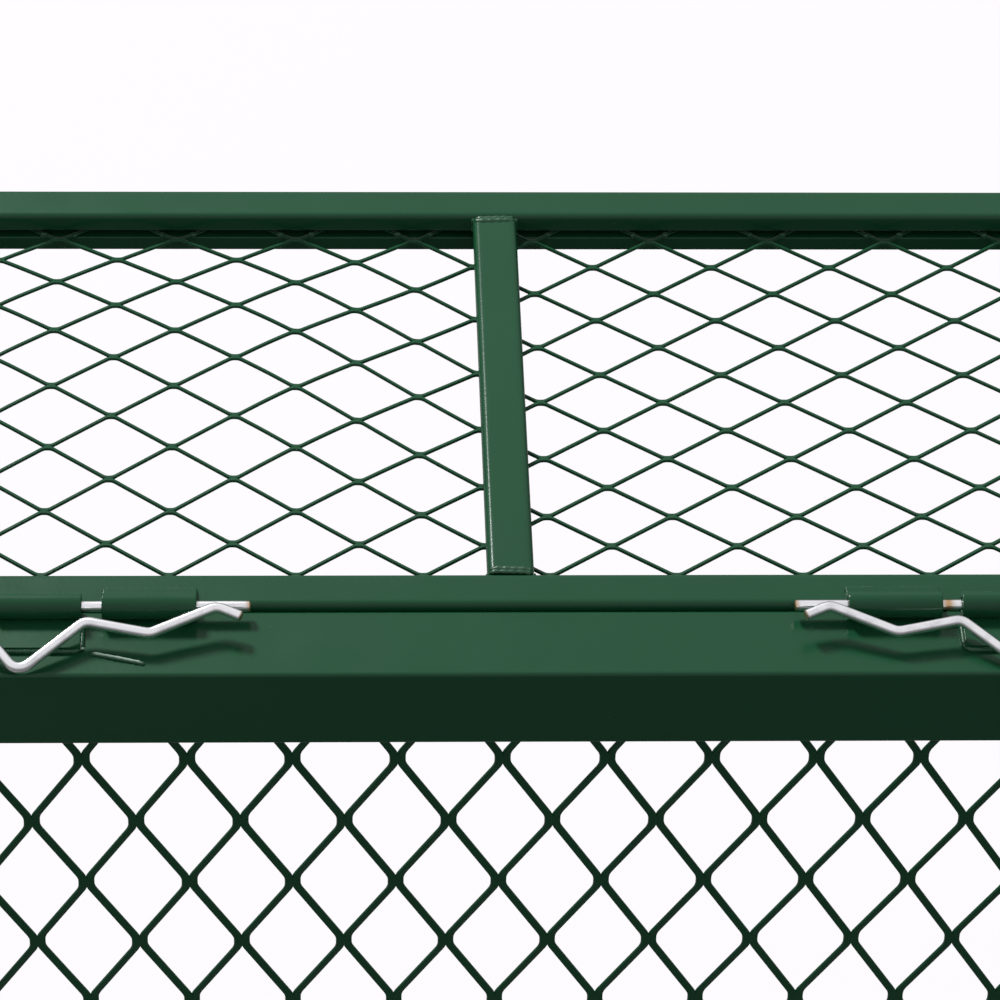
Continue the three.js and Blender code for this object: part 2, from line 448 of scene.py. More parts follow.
@dataclass(frozen=True)
class PaintFinish(Finish):
    """Dark green powder coat: even colour, a fine orange-peel skin and a few scuffs."""

    name: str = "green_powder_coat"
    slot: str = "paint"
    colour: tuple = (0.0100, 0.0775, 0.0322)
    deep: tuple = (0.0086, 0.0708, 0.0292)
    scuff: tuple = (0.040, 0.125, 0.075)
    roughness: float = 0.21
    index: float = 1.30
    peel: float = 0.00006
    lumps: float = 0.0

    def dress(self, nodes: Nodes, inputs: object) -> None:
        """Colour drifts over a hand's width, the skin ripples finely, and scuffs are rare.

        Args:
            nodes: The material's nodes.
            inputs: The shader's inputs.
        """
        where = nodes.add("ShaderNodeTexCoord").outputs["Object"]
        drift = nodes.ramp(nodes.noise(where, 9.0, 4.0), 0.35, 0.65, (0.0, 1.0))
        colour = nodes.blend(drift, self.deep, self.colour)
        specks = nodes.ramp(nodes.noise(where, 340.0, 2.0), 0.76, 0.80, (0.0, 0.5))
        colour = nodes.blend(specks, colour, self.scuff)
        nodes.link(colour, inputs["Base Color"])
        cloud = nodes.noise(where, 38.0, 5.0)
        rough = nodes.ramp(cloud, 0.3, 0.7, (self.roughness - 0.02, self.roughness + 0.03))
        nodes.link(rough, inputs["Roughness"])
        inputs["IOR"].default_value = self.index
        normal = nodes.bump(nodes.noise(where, 420.0, 2.0), self.peel, 0.5)
        if self.lumps:
            normal = nodes.bump(nodes.noise(where, 130.0, 3.0), self.lumps, 0.7, normal)
        nodes.link(normal, inputs["Normal"])


@dataclass(frozen=True)
class ZincFinish(Finish):
    """Bright zinc plating on drawn wire: streaks along the wire, duller patches, bare cut ends."""

    name: str = "zinc_plated_wire"
    slot: str = "zinc"
    bright: tuple = (0.93, 0.935, 0.95)
    dull: tuple = (0.72, 0.73, 0.75)
    cut: tuple = (0.55, 0.33, 0.14)
    roughness: float = 0.18

    def dress(self, nodes: Nodes, inputs: object) -> None:
        """Streaks are noise stretched along U; the cut ends' warm colour follows the bare mark.

        Args:
            nodes: The material's nodes.
            inputs: The shader's inputs.
        """
        uv = nodes.add("ShaderNodeUVMap", uv_map="Run").outputs["UV"]
        stretch = nodes.add("ShaderNodeMapping")
        stretch.inputs["Scale"].default_value = (60.0, 2600.0, 1.0)
        nodes.link(uv, stretch.inputs["Vector"])
        streak = nodes.noise(stretch.outputs["Vector"], 1.0, 4.0)
        where = nodes.add("ShaderNodeTexCoord").outputs["Object"]
        patch = nodes.noise(where, 160.0, 5.0)
        worn = nodes.ramp(patch, 0.45, 0.70, (0.0, 1.0))
        colour = nodes.blend(worn, self.bright, self.dull)
        lines = nodes.ramp(streak, 0.60, 0.78, (0.0, 0.35))
        colour = nodes.blend(lines, colour, self.dull)
        bare = nodes.add("ShaderNodeAttribute", attribute_name="bare").outputs["Fac"]
        colour = nodes.blend(bare, colour, self.cut)
        nodes.link(colour, inputs["Base Color"])
        inputs["Metallic"].default_value = 0.95
        rough = nodes.ramp(patch, 0.3, 0.7, (self.roughness - 0.06, self.roughness + 0.14))
        nodes.link(rough, inputs["Roughness"])
        normal = nodes.bump(streak, 0.00004, 0.5)
        normal = nodes.bump(patch, 0.00012, 0.35, normal)
        nodes.link(normal, inputs["Normal"])


PAINT = PaintFinish()
MESH_PAINT = PaintFinish(name="green_coat_on_mesh", roughness=0.26, peel=0.00008, lumps=0.0003)
BEAD_PAINT = PaintFinish(name="green_coat_on_welds", roughness=0.33, index=1.45, lumps=0.0008)
# Pale weld paint: a painted highlight that stands for the lamp's glint on the left weld tail and on
# two dots by the hinge leaf.
GLINT_PAINT = PaintFinish(
    name="rubbed_weld_crest",
    colour=(0.62, 0.74, 0.65),
    deep=(0.30, 0.48, 0.37),
    scuff=(0.78, 0.82, 0.78),
    roughness=0.30,
    lumps=0.0003,
)
ZINC = ZincFinish()


# ---- rails


@dataclass
class RailTube:
    """Square or shallow tube with rounded corners and open ends, that stands for one CAD node."""

    node: str
    body: str
    axis: Axis
    radius: float
    wall: float
    lip: float = 0.35 * MM
    stations: int = 24
    corner_points: int = 8

    def build(self) -> bpy.types.Object:
        """Outer skin out along the axis, inner skin back, joined at both ends into one closed ring.

        Returns:
            The rail.
        """
        low, high = corners(self.node)
        a, b, c = self.axis.value
        size, centre = high - low, (low + high) / 2
        inner_radius = max(self.radius - self.wall, 0.4 * MM)
        trims = ((0, self.radius), (self.lip, self.radius), (self.wall, inner_radius))
        outer, shrunk, inner = (
            rounded_rectangle(size[b] - 2 * trim, size[c] - 2 * trim, radius, self.corner_points)
            for trim, radius in trims
        )
        inside = np.linspace(low[a] + self.lip, high[a] - self.lip, self.stations)
        stations = np.concatenate([low[[a]], inside, high[[a, a]], low[[a]]])
        sections = np.stack([shrunk] + [outer] * self.stations + [shrunk] + [inner] * 2)
        path = straight(self.axis, stations, (centre[b], centre[c]))
        skin = swept(*path, sections, ring=True)
        return piece(self.node + "_rail", [skin], PAINT, self.body, (self.node,))


@dataclass
class SolidBar:
    """End plate or flat bar with softened edges that stands for one CAD node."""

    node: str
    body: str
    axis: Axis
    radius: float
    edge: float = 0.5 * MM
    edge_points: int = 5
    corner_points: int = 6

    def build(self) -> bpy.types.Object:
        """The outline is carried along the axis and drawn in over a quarter circle at both ends.

        Returns:
            The bar or plate.
        """
        low, high = corners(self.node)
        a, b, c = self.axis.value
        size, centre = high - low, (low + high) / 2
        edge = min(self.edge, size[a] / 2 * 0.95)
        turn = np.linspace(0, np.pi / 2, self.edge_points)
        draw = edge * (1 - np.sin(turn))
        start = low[a] + edge * (1 - np.cos(turn))
        stations = np.concatenate([start, high[a] - (start - low[a])[::-1]])
        inset = np.concatenate([[draw[0] + edge], draw, draw[::-1], [draw[0] + edge]])
        stations = np.pad(stations, 1, mode="edge")
        outline = rounded_rectangle(size[b], size[c], self.radius, self.corner_points)
        scale = 1 - 2 * inset[:, None, None] / np.array([size[b], size[c]])
        path = straight(self.axis, stations, (centre[b], centre[c]))
        skin = swept(*path, outline * scale)
        return piece(self.node + "_bar", [skin], PAINT, self.body, (self.node,))


def capped_rail(node: str, body: str, radius: float, wall: float) -> None:
    """Makes a rail along X and the end plates over its two open ends.

    Args:
        node: The rail's CAD node.
        body: The body that it moves with.
        radius: Corner radius.
        wall: Wall of the tube.
    """
    RailTube(node, body, Axis.X, radius, wall).build()
    for name, _ in SIDES:
        SolidBar(f"{node}_cap_{name}", body, Axis.X, radius).build()


# ---- welds


@dataclass
class Beads:
    """The weld beads and spot welds of one body, gathered into one piece."""

    body: str
    seed: int
    surfaces: list[Surface] = field(default_factory=list)
    spacing: float = 0.28
    round_points: int = 12
    unevenness: float = 0.09
    taper: float = 1.2
    tip: float = 0.03

    def __post_init__(self) -> None:
        """Starts the random draws."""
        self.random = np.random.default_rng(self.seed)

    def run(
        self,
        path: list | Array,
        radius: float,
        pitch: float = 1.7 * MM,
        swell: float = 0.16,
        flat: float = 1.0,
    ) -> None:
        """Adds a bead: a tube whose radius swells with each weld puddle and tapers at both ends.

        Args:
            path: Corner points of the bead's path.
            radius: Radius of the bead.
            pitch: Length of one puddle.
            swell: How much each puddle swells, as a share of the radius.
            flat: Height as a share of the width, for a bead on a face.
        """
        path = np.array(path)
        length = lengths(path)[-1]
        where = np.linspace(0, length, max(int(length / (self.spacing * pitch)), 8))
        centres = spaced(path, where)
        tangent = units(np.gradient(centres, axis=0))
        upright = abs(tangent[:, 2]).max() >= 0.8
        lean = np.array([0.17, 0.94, 0.31] if upright else [0.31, 0.17, 0.94])
        side = units(np.cross(np.broadcast_to(lean, tangent.shape), tangent))
        up = np.cross(tangent, side)
        phase = np.pi * where / pitch + self.random.uniform(0, 3)
        puddle = 1.02 - swell + swell * np.abs(np.sin(phase))
        draws = self.random.uniform(-1, 1, 9)
        drift = 1 + self.unevenness * np.interp(where, np.linspace(0, length, 9), draws)
        ends = np.clip(np.minimum(where, length - where) / (self.taper * radius), 0, 1)
        taper = np.sqrt(1 - (1 - ends) ** 2) * (1 - self.tip) + self.tip
        size = (radius * puddle * drift * taper)[:, None, None]
        ring = circle(1.0, self.round_points) * [1.0, flat]
        self.surfaces.append(swept(centres, side, up, ring[None] * size))

    def dots(self, centres: Array, radius: float, squash: tuple = (1.0, 1.0, 1.0)) -> None:
        """Adds spot welds: lumps, points = centre + radius * (sin a cos b, sin a sin b, cos a).

        Args:
            centres: Centres, n by 3.
            radius: Mean radius.
            squash: Scale along X, Y and Z.
        """
        rings, around, cap = 7, 10, 0.12
        tall = np.linspace(cap, np.pi - cap, rings)[:, None]
        loop = -np.arange(around) * 2 * np.pi / around
        ball = np.stack(
            [np.sin(tall) * np.cos(loop), np.sin(tall) * np.sin(loop), np.cos(tall) + 0 * loop],
            axis=-1,
        )
        for centre in centres:
            size = radius * self.random.uniform(0.75, 1.25, 3) * squash
            points = centre + ball * size
            self.surfaces.append(grid_surface(points, np.zeros(rings + 1), np.zeros(around + 1)))

    def build(self) -> bpy.types.Object:
        """Makes the one piece that holds them all."""
        return piece(self.body + "_welds", self.surfaces, BEAD_PAINT, self.body)


# ---- expanded metal


@dataclass
class ExpandedSheet:
    """Raised expanded metal: zigzag strands, tilted out of the sheet, that meet at flat bonds.

    The strands run along `run`; `across` is the way from strand to strand, and `out` leaves the
    sheet. Strand j lies between the bond lines j and j + 1, half a cell apart.
    """

    name: str
    node: str
    body: str
    run: int
    across: int
    out: int
    cell_run: float
    cell_across: float
    phase_run: float
    phase_across: float
    width: float
    thickness: float
    tilt: float
    bond: float
    bend: float
    lap: float = 0.5
    pressed: float = 0.0
    pull: float = 0.0
    pull_from: float = 75 * MM
    pull_end: float = 5 * MM
    pull_fade: float = 115 * MM
    step: float = 0.9 * MM
    scan: float = 0.1 * MM
    shortest: float = 1.5 * MM

    def rows(self) -> Array:
        """Finds the strands that could lie inside the sheet.

        Returns:
            Their numbers.
        """
        low, high = corners(self.node)
        half = self.cell_across / 2
        first = int(np.floor((low[self.across] - self.phase_across) / half)) - 1
        last = int(np.ceil((high[self.across] - self.phase_across) / half)) + 1
        return np.arange(first, last + 1)

    def placed(self, along: Array, across: Array, out: Array) -> Array:
        """Turns places in the sheet into world points.

        Args:
            along: Places along the run.
            across: Places across the sheet.
            out: Distances out of the sheet's middle.

        Returns:
            World points, n by 3.
        """
        low, high = corners(self.node)
        parts = np.broadcast_arrays(along, across, out)
        points = np.zeros((len(parts[0]), 3))
        points[:, self.run], points[:, self.across] = parts[:2]
        points[:, self.out] = (low[self.out] + high[self.out]) / 2 + parts[2]
        return points

    def drawn(self, along: Array, across: Array) -> Array:
        """How far the sheet's left half is drawn towards its far edge, as the press left it.

        Nothing at the edges, most at two thirds of the way across: sin(pi * share ** 1.4), times
        two smooth steps along the run.

        Args:
            along: Positions along the run.
            across: Positions across the sheet.

        Returns:
            The shift across the sheet.
        """
        if not self.pull:
            return np.zeros(np.broadcast(along, across).shape)
        low, high = corners(self.node)
        share = (across - low[self.across]) / (high[self.across] - 10 * MM - low[self.across])
        wave = np.sin(np.pi * np.clip(share, 0, 1) ** 1.4)
        near = np.clip((self.pull_end - along) / self.pull_fade, 0, 1)
        far = np.clip((along - low[self.run]) / self.pull_from, 0, 1)
        steps = near**2 * (3 - 2 * near) * far**2 * (3 - 2 * far)
        return self.pull * wave * steps

    def soften(self, t: Array) -> Array:
        """Clamps to 0..1 with rounded corners: a quadratic joins the level and rising parts.

        Args:
            t: Values that rise from below 0 to above 1.

        Returns:
            The clamped values.
        """
        e = self.bend / (self.cell_run / 2 - 2 * self.bond)

        def knee(x: Array) -> Array:
            """0 below -e, x above e, and (x + e) squared over 4e between."""
            return np.where(x < -e, 0.0, np.where(x > e, x, (x + e) ** 2 / (4 * e)))

        return knee(t) - knee(t - 1)

    def centre_line(self, row: int, along: Array) -> tuple[Array, Array]:
        """Where strand `row` runs: level at each bond, and a straight ramp between bonds.

        Args:
            row: Strand number.
            along: Positions along the run.

        Returns:
            The strand's middle across the sheet, and its middle out of the sheet.
        """
        half_run, half_across = self.cell_run / 2, self.cell_across / 2
        s = (along - self.phase_run) / half_run
        i = np.floor(s)
        t = (s - i) * half_run
        ramp = self.soften((t - self.bond) / (half_run - 2 * self.bond))
        starts_low = (i.astype(int) + row) % 2 == 1
        share = np.where(starts_low, ramp, 1 - ramp)
        reach = self.lap * self.width * np.cos(self.tilt)
        rise = self.width / 2 * np.sin(self.tilt)
        base = self.phase_across + row * half_across
        across = base + reach + share * (half_across - 2 * reach)
        return across + self.drawn(along, across), rise * (1 - 2 * share)

    def pieces_of(self, row: int) -> list[tuple[float, float]]:
        """The lengths of strand `row` that lie inside the sheet.

        Args:
            row: Strand number.

        Returns:
            Start and end positions along the run.
        """
        low, high = corners(self.node)
        along = np.arange(low[self.run], high[self.run] + 1e-9, self.scan)
        across, _ = self.centre_line(row, along)
        inside = (across > low[self.across]) & (across < high[self.across])
        edges = np.flatnonzero(np.diff(np.concatenate([[0], inside.astype(int), [0]])))
        starts, ends = edges[::2], edges[1::2] - 1
        spans = [(along[a], along[b]) for a, b in zip(starts, ends)]
        return [(start, end) for start, end in spans if end - start > self.shortest]

    def ends(self, line: float) -> Array:
        """Points where strands cross a line across the sheet, for spot welds.

        Args:
            line: Position across the sheet.

        Returns:
            World points, n by 3.
        """
        low, high = corners(self.node)
        row = int(np.floor((line - self.phase_across) / (self.cell_across / 2)))
        along = np.arange(low[self.run], high[self.run], self.scan)
        found = []
        for near in (row - 1, row, row + 1):
            across, out = self.centre_line(near, along)
            hits = np.flatnonzero(np.diff(np.sign(across - line)) != 0)
            found.append(self.placed(along[hits], line, out[hits]))
        return np.concatenate(found)

    def end_tips(self, position: float) -> Array:
        """Points where strands reach an end of the sheet, for spot welds.

        Args:
            position: Position along the run.

        Returns:
            World points, n by 3.
        """
        low, high = corners(self.node)
        lines = [self.centre_line(row, np.array([position])) for row in self.rows()]
        across, out = np.concatenate(lines, axis=1)
        inside = (across > low[self.across]) & (across < high[self.across])
        return self.placed(position, across[inside], out[inside])

    def strand(self, row: int, start: float, end: float) -> Surface:
        """One length of strand: a tilted rounded bar carried along the centre line.

        Args:
            row: Strand number.
            start: Where it starts along the run.
            end: Where it ends.

        Returns:
            The closed surface.
        """
        _, high = corners(self.node)
        count = max(int((end - start) / self.step), 6)
        along = np.linspace(start, end, count)
        across, out = self.centre_line(row, along)
        squeeze = np.ones(count)
        if self.pressed:
            squeeze = np.clip((high[self.across] - across) / self.pressed, 0.35, 1.0)
        cos, sin = np.cos(self.tilt), np.sin(self.tilt)
        bar = rounded_rectangle(self.width, self.thickness, 0.30 * self.thickness, 3)
        a = bar[:, 0] * cos - bar[:, 1] * sin
        b = bar[:, 0] * sin + bar[:, 1] * cos
        section = np.stack(np.broadcast_arrays(a[None], b[None] * squeeze[:, None]), axis=-1)
        side, up, ahead = (np.eye(3)[[k] * count] for k in (self.across, self.out, self.run))
        if np.cross(side[0], up[0]) @ ahead[0] < 0:
            section = section[:, ::-1]
        return swept(self.placed(along, across, out * squeeze), side, up, section)

    def build(self) -> bpy.types.Object:
        """Makes every strand and gathers them into the sheet."""
        strands = [self.strand(row, *ends) for row in self.rows() for ends in self.pieces_of(row)]
        return piece(self.name, strands, MESH_PAINT, self.body, (self.node,))


# ---- hinges and clips


@dataclass
class HingeAxis:
    """The line that both hinges' pins lie on."""

    y: float
    z: float

    @classmethod
    def of_flap(cls) -> "HingeAxis":
        """Reads the line from the flap's joint."""
        joint = next(j for j in frame["joints"] if j["name"] == "flap_swing")
        return cls(joint["pos_m"][1], joint["pos_m"][2])


@dataclass
class RolledHinge:
    """A hinge half rolled from flat strip: a leaf, and an eye that curls up and round the pin."""

    node: str
    body: str
    axis: HingeAxis
    leaf_end: float
    leaf_height: float
    thickness: float = 2.1 * MM
    eye: float = 5.4 * MM
    closed: float = 0.93
    curl_points: int = 64
    leaf_points: int = 14

    def build(self) -> bpy.types.Object:
        """A flat strip section is carried along the leaf and then round the eye's circle.

        Returns:
            The hinge half.
        """
        low, high = corners(self.node)
        half = self.thickness / 2
        radius = self.eye - half
        towards = np.sign(self.axis.y - self.leaf_end)
        drop = self.leaf_height - self.axis.z
        begin = -np.arccos(np.clip(-drop / radius, -1, 1)) if abs(drop) < radius else 0.0
        turn = np.linspace(begin, 2 * np.pi * self.closed, self.curl_points)
        curl_y = self.axis.y + towards * radius * np.sin(turn)
        curl_z = self.axis.z - radius * np.cos(turn)
        leaf_y = np.linspace(self.leaf_end, curl_y[0], self.leaf_points)[:-1]
        y = np.concatenate([leaf_y, curl_y])
        z = np.concatenate([np.full(len(leaf_y), self.leaf_height), curl_z])
        centres = np.stack([np.full(len(y), (low[0] + high[0]) / 2), y, z], axis=1)
        tangent = units(np.gradient(centres, axis=0))
        side = np.broadcast_to([1.0, 0.0, 0.0], tangent.shape)
        up = np.cross(tangent, side)
        strip = rounded_rectangle(high[0] - low[0], self.thickness, 0.45 * MM, 4)
        skin = swept(centres, side, up, strip)
        return piece(self.node + "_rolled", [skin], PAINT, self.body, (self.node,))


@dataclass
class HairpinClip:
    """Hairpin clip of round wire: pin leg, a coil of over one turn, and a waved leg.

    A point is given as (outward, forward of the pin, above the pin) in the clip's leaning plane.
    """

    side_name: str
    side: float
    axis: HingeAxis
    wire: float = 2.205 * MM
    start: float = 109.5 * MM
    coil_x: float = 222.5 * MM
    coil: float = 8.5 * MM
    pitch: float = 4.5 * MM
    droop: float = np.radians(15)
    turns: float = np.radians(360 + 155)
    bend: float = 5.0 * MM
    bends: tuple = (
        (-12.5, 23.8), (-20.9, 35.2), (-47, 11.2), (-73, 16.8), (-99.6, 4.3), (-109.5, 9)
    )
    chamfer: float = 0.45 * MM
    cut_size: float = 0.80
    round_points: int = 20
    coil_points: int = 90
    corner_points: int = 14
    step: float = 0.6 * MM
    worn_half: float = 2.0 * MM
    worn_at: float | None = None

    @staticmethod
    def arc(centre: Array, start: Array, end: Array, steps: int) -> Array:
        """Circle arc from start to end: each spoke weighted by the sine of the angle left to it.

        Args:
            centre: Centre of the arc.
            start: Spoke to its first point.
            end: Spoke to its last point.
            steps: Number of points.

        Returns:
            The arc's points.
        """
        cosine = start @ end / np.linalg.norm(start) / np.linalg.norm(end)
        turn = np.arccos(np.clip(cosine, -1, 1))
        t = np.linspace(0, 1, steps)[:, None]
        return centre + (start * np.sin(turn * (1 - t)) + end * np.sin(turn * t)) / np.sin(turn)

    def waved_leg(self, begin: Array) -> Array:
        """Straight runs between the corner points, each inner corner rounded with the bend radius.

        Args:
            begin: Where the leg leaves the coil, in the clip's plane.

        Returns:
            Points in the clip's plane, n by 2.
        """
        at = np.concatenate([[begin], np.array(self.bends) * MM + [self.coil_x, 0]])
        runs = units(np.diff(at, axis=0))
        parts = [at[:1]]
        for corner, back, ahead in zip(at[1:-1], -runs[:-1], runs[1:]):
            half = np.arccos(back @ ahead) / 2
            middle = back + ahead
            centre = corner + middle / np.linalg.norm(middle) * self.bend / np.sin(half)
            reach = self.bend / np.tan(half)
            spokes = [corner + v * reach - centre for v in (back, ahead)]
            parts.append(self.arc(centre, *spokes, self.corner_points))
        return np.concatenate(parts + [at[-1:]])

    def path(self) -> Array:
        """The wire's path: a straight leg, a helix of radius `coil`, then the waved leg.

        Returns:
            Path points in the clip's own plane, n by 3.
        """
        leg = np.array([[self.start, 0.0, 0.0]])
        angle = np.linspace(0, self.turns, self.coil_points)
        helix = np.stack(
            [
                self.coil_x + self.coil * np.sin(angle),
                self.coil * (1 - np.cos(angle)),
                self.pitch * angle / (2 * np.pi),
            ],
            axis=1,
        )
        wave = self.waved_leg(helix[-1, :2])[1:]
        wave = np.column_stack([wave, np.full(len(wave), helix[-1, 2])])
        return np.concatenate([leg, helix, wave])

    @staticmethod
    def even(points: Array, step: float) -> Array:
        """Points at even distances along a polyline, softened by a short running mean.

        Args:
            points: The polyline.
            step: Distance between points.

        Returns:
            The new points.
        """
        length = lengths(points)[-1]
        line = spaced(points, np.linspace(0, length, int(length / step)))
        before, after = 2 * line[0] - line[2:0:-1], 2 * line[-1] - line[-2:-4:-1]
        padded = np.concatenate([before, line, after])
        kernel = np.array([1, 2, 3, 2, 1]) / 9
        return np.stack([np.convolve(padded[:, k], kernel, "valid") for k in range(3)], axis=1)

    def build(self) -> bpy.types.Object:
        """Carries the wire's circle along the smooth path, with a small chamfer at each cut end.

        Returns:
            The clip.
        """
        local = self.even(self.path(), self.step)
        cos, sin = np.cos(self.droop), np.sin(self.droop)
        centres = np.stack(
            [
                self.side * local[:, 0],
                self.axis.y - local[:, 1] * cos - local[:, 2] * sin,
                self.axis.z - local[:, 1] * sin + local[:, 2] * cos,
            ],
            axis=1,
        )
        tangent = units(np.gradient(centres, axis=0))
        plane = np.broadcast_to([0, -sin, cos], tangent.shape)
        side = units(np.cross(plane, tangent))
        up = np.cross(tangent, side)
        keep = np.concatenate([[0, 0], np.arange(2, len(tangent) - 2), [-1, -1]])
        centres, side, up = centres[keep], side[keep], up[keep]
        centres[1] += self.chamfer * tangent[0]
        centres[-2] -= self.chamfer * tangent[-1]
        size = np.ones(len(centres))
        size[[0, -1]] = self.cut_size
        ring = circle(self.wire, self.round_points) * size[:, None, None]
        skin = swept(centres, side, up, ring)
        rows = skin.bare[:-2].reshape(-1, self.round_points)
        rows[:4] = np.array([0.9, 0.8, 0.5, 0.2])[:, None]
        rows[-2:] = np.array([0.2, 0.9])[:, None]
        skin.bare[-2:] = 1.0
        if self.worn_at is not None:
            near = np.abs(centres[:, 0]) - self.worn_at
            patch = np.where(local[keep, 1] < 1e-4, np.exp(-((near / self.worn_half) ** 2)), 0.0)
            rows[:] = np.maximum(rows, 0.95 * patch[:, None])
        name = "clip_" + self.side_name
        return piece(name + "_wire", [skin], ZINC, name, (name,))


# ---- assemblies


@dataclass
class GateLeaf:
    """The gate leaf: square-tube frame, its end plates, its mesh and the outer hinge halves."""

    axis: HingeAxis
    body: str = "gate"
    radius: float = 1.8 * MM
    wall: float = 2.0 * MM

    def mesh(self) -> ExpandedSheet:
        """Describes the leaf's sheet, with its strands running up and down.

        Returns:
            The sheet.
        """
        return ExpandedSheet(
            name="gate_mesh_sheet", node="gate_mesh", body=self.body, run=2, across=0,
            out=1, cell_run=71 * MM, cell_across=42.9 * MM, phase_run=(600 - 135.3) * MM,
            phase_across=14.5 * MM, width=3.7 * MM, thickness=1.8 * MM,
            tilt=np.radians(14), bond=2.9 * MM, bend=1.9 * MM, lap=0.41,
        )

    def welds(self, sheet: ExpandedSheet) -> None:
        """Beads at the frame's inner corners, round the end plates and the leaves, and mesh spots.

        Args:
            sheet: The leaf's mesh.
        """
        beads = Beads(self.body, seed=11)
        top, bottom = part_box("gate_top_rail"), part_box("gate_bottom_rail")
        inner_x, outer_x = (corner[0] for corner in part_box("gate_stile_right"))
        half = (top[1][1] - top[0][1]) / 2 - 2.5 * MM
        for z, out in ((top[0][2], -1), (bottom[1][2], 1)):
            for _, s in SIDES:
                x, level = s * (inner_x - 0.2 * MM), z + out * 0.2 * MM
                beads.run([[x, -half, level], [x, half, level]], 2.0 * MM)
                seam = s * (inner_x + 2.5 * MM), s * (outer_x - 2.5 * MM)
                for y in (top[0][1] + 0.55 * MM, top[1][1] - 0.55 * MM):
                    beads.run([[x, y, level] for x in seam], 0.75 * MM, 2.4 * MM)
        for name, s in SIDES:
            self.leaf_beads(beads, name, s)
        low, high = corners(sheet.node)
        for z, inward in ((high[2], 1), (low[2], -1)):
            tips = sheet.end_tips(z)
            tips[:, 2] += inward * 0.2 * MM
            beads.dots(tips, 2.0 * MM, (1.25, 1.0, 0.7))
        for x, inward in ((low[0], -1), (high[0], 1)):
            beads.dots(sheet.ends(x - inward * 0.4 * MM), 2.0 * MM, (0.7, 1.0, 1.3))
        beads.build()

    def leaf_beads(self, beads: Beads, name: str, s: float) -> None:
        """Fillet weld along a hinge leaf's front edge and inner end; on the left also a run-out
        tail, with a painted highlight along its top and on two dots beside the leaf.

        Args:
            beads: Where the beads go.
            name: Side's name.
            s: Side's sign along X.
        """
        low, high = corners("gate_hinge_" + name)
        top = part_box("gate_top_rail")[1][2]
        inner = low[0] if s > 0 else high[0]
        outer = high[0] if s > 0 else low[0]
        front = low[1]
        z = top + 0.55 * MM
        turn = [
            [outer - s * 1.0 * MM, front - 0.4 * MM, z],
            [inner + s * 2.0 * MM, front - 0.4 * MM, z],
            [inner - s * 0.3 * MM, front + 1.6 * MM, z],
            [inner - s * 0.5 * MM, self.axis.y - 6.5 * MM, z],
        ]
        beads.run(turn, 1.25 * MM)
        if s < 0:
            tail = np.array([[-173.5, -6.2, 0.1], [-163, -9.4, 0.3], [-151, -12.6, 0.1]])
            beads.run(tail * MM + [0, 0, top], 0.95 * MM, 2.9 * MM, 0.36)
            # Pale paint along the tail's top and on two dots at the leaf corner is a painted
            # highlight: the lamp's glint on the weld, drawn as colour.
            glint_beads = Beads(self.body, seed=5)
            glint_path = np.array([[-172.5, -6.3, 0.75], [-163, -9.2, 1.0], [-152.5, -12.0, 0.7]])
            glint_beads.run(glint_path * MM + [0, 0, top], 0.62 * MM, 4.2 * MM, 0.30)
            spot = np.array([[-176.3, -4.6, 1.5], [-178.0, -3.4, 1.7]]) * MM + [0, 0, top]
            glint_beads.dots(spot, 0.75 * MM, (1.3, 0.9, 0.7))
            piece(self.body + "_weld_crest", glint_beads.surfaces, GLINT_PAINT, self.body)

    def build(self) -> None:
        """Makes the leaf."""
        for node in ("gate_top_rail", "gate_bottom_rail"):
            capped_rail(node, self.body, self.radius, self.wall)
        for name, _ in SIDES:
            RailTube("gate_stile_" + name, self.body, Axis.Z, self.radius, self.wall).build()
            node = "gate_hinge_" + name
            low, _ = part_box(node)
            RolledHinge(node, self.body, self.axis, low[1], low[2] + 1.05 * MM).build()
        sheet = self.mesh()
        sheet.build()
        self.welds(sheet)


